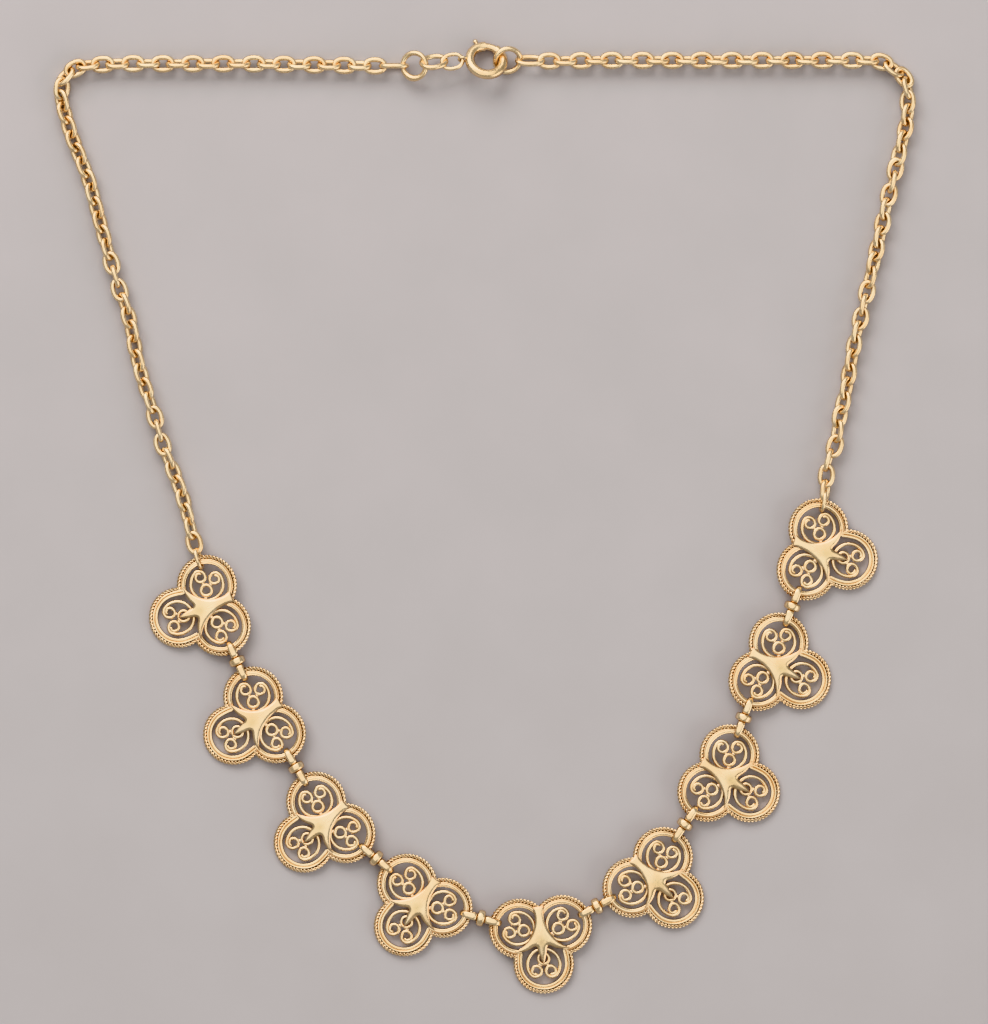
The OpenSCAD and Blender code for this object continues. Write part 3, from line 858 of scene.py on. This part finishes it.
# Bolt ring: radius of its middle line, then the radii of tube, bore and bolt
CLASP_R, CLASP_TUBE, CLASP_BORE, BOLT_R = 2.43, 0.7, 0.57, 0.52
CLASP_LEAN = -30.3
CLASP_PLACE = move(0.22, 65.9, CLASP_TUBE - CLASP_R * math.sin(math.radians(CLASP_LEAN))) \
    @ turn(2, -15) @ turn(0, CLASP_LEAN)
# Angles round the ring, in degrees: the tube, its bore, the socket for the bolt, and the slot
RING_FIRST, RING_LAST = 108, 430
BORE_LAST, SOCKET_FIRST = 182, 421
SLOT_FIRST, SLOT_LAST, SLOT_HALF = 123, 177, 0.27
BOLT_FIRST, BOLT_LAST, KNOB_AT = 64, 138, 130
KNOB_R, STEM_R, STEM_END, KNOB_GAP = 0.36, 0.22, -0.3, 0.05
EYELET_AT, EYELET_OUT, EYELET_R, EYELET_WIRE = 195, 3.45, 0.55, 0.18
TUBE_COLUMNS = 37


def tube_rows(angles, radius, columns, open_half):
    """Rings round the bent tube, each split open on its outer side by an angle."""
    around = np.linspace(open_half, TAU - open_half, columns)
    rows = []
    for a in np.radians(angles):
        out = np.array([math.cos(a), math.sin(a), 0])
        spoke = np.cos(around)[:, None] * out + np.sin(around)[:, None] * UP
        rows.append(CLASP_R * out + radius * spoke)
    return np.array(rows)


def make_clasp_ring():
    """The bent tube with its gap, bore, socket and slot; the slot splits each ring of points."""
    columns = TUBE_COLUMNS
    angles = np.unique(np.concatenate([
        np.linspace(RING_FIRST, SLOT_FIRST, 7), np.linspace(SLOT_FIRST, SLOT_LAST, 19),
        np.linspace(BORE_LAST, SOCKET_FIRST, 81), np.linspace(SOCKET_FIRST, RING_LAST, 5)]))
    outer = tube_rows(angles, CLASP_TUBE, columns, math.asin(SLOT_HALF / CLASP_TUBE))
    inner = tube_rows(angles, CLASP_BORE, columns, math.asin(SLOT_HALF / CLASP_BORE))
    n = len(angles)
    inside = n * columns
    faces, tris = [], []

    def rows(base, first, last, flip, slotted):
        """Walls of a tube between two rows, leaving the slot open where it is."""
        for i in range(first, last):
            a, b = base + i * columns, base + (i + 1) * columns
            mid = (angles[i] + angles[i + 1]) / 2
            for j in range(columns):
                if j == columns - 1 and slotted and SLOT_FIRST < mid < SLOT_LAST:
                    continue
                q = (j + 1) % columns
                face = [a + j, b + j, b + q, a + q]
                faces.append(face[::-1] if flip else face)

    at = {round(a, 6): i for i, a in enumerate(angles)}
    bore, socket = at[BORE_LAST], at[SOCKET_FIRST]
    rows(0, 0, n - 1, False, True)
    rows(inside, 0, bore, True, True)
    rows(inside, socket, n - 1, True, False)
    for i in range(at[SLOT_FIRST], at[SLOT_LAST]):
        a, b = i * columns, (i + 1) * columns
        faces.append([a, inside + a, inside + b, b])
        a, b = a + columns - 1, b + columns - 1
        faces.append([a, b, inside + b, inside + a])
    for i, flip in ((at[SLOT_FIRST], False), (at[SLOT_LAST], True)):
        a, b = i * columns, i * columns + columns - 1
        face = [a, b, inside + b, inside + a]
        faces.append(face[::-1] if flip else face)
    for i, flip in ((0, False), (n - 1, True)):
        for j in range(columns):
            a, b = i * columns + j, i * columns + (j + 1) % columns
            face = [a, b, inside + b, inside + a]
            faces.append(face[::-1] if flip else face)
    points = np.concatenate([outer.reshape(-1, 3), inner.reshape(-1, 3),
                             [inner[bore].mean(0), inner[socket].mean(0)]])
    for i, centre, flip in ((bore, len(points) - 2, False), (socket, len(points) - 1, True)):
        fan = fan_faces(inside + i * columns, columns, centre)
        tris.append(fan[:, ::-1] if flip else fan)
    used = np.unique(np.concatenate([np.ravel(faces), np.concatenate(tris).ravel()]))
    renumber = np.zeros(len(points), int)
    renumber[used] = np.arange(len(used))
    # Painted shade on the inner walls of the bore
    shade = np.concatenate([np.zeros(inside), np.ones(len(points) - inside)])
    shell = Shell()
    shell.add(points[used], renumber[np.array(faces)], renumber[np.concatenate(tris)],
              CLASP_PLACE, shade[used])
    eyelet = CLASP_PLACE @ turn(2, EYELET_AT) @ move(EYELET_OUT, 0) @ turn(0, 90)
    ring = lift(arc([0, 0], EYELET_R, 0, 360, 0.08)[:-1], 0)
    sweep(shell, ring, UP, circle(EYELET_WIRE, 14), closed=True, place=eyelet)
    shell.make("clasp_ring_tube", CLASP_GOLD, "necklace", ["clasp_ring"], 40)


make_clasp_ring()


def make_bolt():
    shell = Shell()
    rod = lift(arc([0, 0], CLASP_R, BOLT_FIRST, BOLT_LAST, 0.1), 0)
    sweep(shell, rod, UP, circle(BOLT_R, 24), place=CLASP_PLACE)
    out = CLASP_R + CLASP_TUBE + KNOB_GAP + KNOB_R
    knob = CLASP_PLACE @ turn(2, KNOB_AT) @ move(out, 0)
    stem = [(CLASP_R - out, 0), (CLASP_R - out, STEM_R), (STEM_END, STEM_R), (STEM_END, 0)]
    lathe(shell, stem, 20, knob)
    a = np.radians(np.linspace(180, 0, 17))[1:-1]
    ball = [(KNOB_R * math.cos(t), KNOB_R * math.sin(t)) for t in a]
    lathe(shell, [(-KNOB_R, 0)] + ball + [(KNOB_R, 0)], 24, knob)
    shell.make("clasp_bolt_rod", CLASP_GOLD, "bolt", ["clasp_bolt"], 40)


make_bolt()

# Middle and height of the view, and how high the camera is above the floor
VIEW_X, VIEW_Y, VIEW_HIGH = 1.32, 0.61, 148.48
CAMERA_UP, SENSOR = 700.0, 36.0
# The floor and the lights are in metres
FLOOR_HALF = 1.6
FLOOR_CORNERS = ((-1, -1), (1, -1), (1, 1), (-1, 1))
FLOOR_DARK, FLOOR_PALE = (0.58, 0.549, 0.559), (0.603, 0.571, 0.583)


def make_floor():
    mesh = bpy.data.meshes.new("floor")
    corners = [(x * FLOOR_HALF, y * FLOOR_HALF, 0) for x, y in FLOOR_CORNERS]
    mesh.from_pydata(corners, [], [(0, 1, 2, 3)])
    material = bpy.data.materials.new("floor_card")
    material.use_nodes = True
    nodes, links = material.node_tree.nodes, material.node_tree.links
    shader = nodes["Principled BSDF"]
    where = nodes.new("ShaderNodeTexCoord").outputs["Object"]
    mottle = ranged(nodes, links, noise(nodes, links, where, *FLOOR_NOISE), 0.3, 0.7, 0.0, 1.0)
    links.new(mixed(nodes, links, mottle, FLOOR_DARK, FLOOR_PALE), shader.inputs["Base Color"])
    shader.inputs["Roughness"].default_value = 0.9
    shader.inputs["Specular IOR Level"].default_value = 0.2
    mesh.materials.append(material)
    floor = bpy.data.objects.new("floor", mesh)
    bpy.context.scene.collection.objects.link(floor)


def area_light(name, at, size, power, colour):
    """A rectangular light that faces the middle of the necklace."""
    data = bpy.data.lights.new(name, "AREA")
    data.shape = "RECTANGLE"
    data.size, data.size_y = size
    data.energy = power
    data.color = colour
    light = bpy.data.objects.new(name, data)
    light.location = at
    light.rotation_euler = (-Vector(at)).to_track_quat("-Z", "Y").to_euler()
    bpy.context.scene.collection.objects.link(light)
    return light


make_floor()
area_light("key", (-0.3, 0.75, 0.58), (1.0, 0.53), 7.2, (1.0, 0.98, 0.95))
area_light("fill", (0.9, -0.5, 0.42), (1.0, 0.55), 3.6, (1.0, 0.97, 0.93))
area_light("overhead", (-0.1, 0.25, 1.05), (1.7, 1.5), 2.6, (1.0, 0.98, 0.95))
# A second one beside it that shows in the metal and leaves the floor as it is
sheen = area_light("overhead_sheen", (-0.1, 0.25, 1.04), (1.7, 1.5), 5.8, (1.0, 0.98, 0.95))
sheen.visible_diffuse = False
world = bpy.data.worlds.new("studio")
world.use_nodes = True
world.node_tree.nodes["Background"].inputs["Color"].default_value = (1.0, 0.96, 0.91, 1.0)
world.node_tree.nodes["Background"].inputs["Strength"].default_value = 0.36
bpy.context.scene.world = world
bpy.context.scene.view_settings.view_transform = "Khronos PBR Neutral"

camera_data = bpy.data.cameras.new("camera")
camera_data.sensor_width = SENSOR
camera_data.lens = SENSOR * CAMERA_UP / VIEW_HIGH
camera_data.dof.use_dof = False
camera_data.clip_start, camera_data.clip_end = 0.01, 10.0
camera = bpy.data.objects.new("camera", camera_data)
camera.location = (VIEW_X * MM, VIEW_Y * MM, CAMERA_UP * MM)
bpy.context.scene.collection.objects.link(camera)
bpy.context.scene.camera = camera
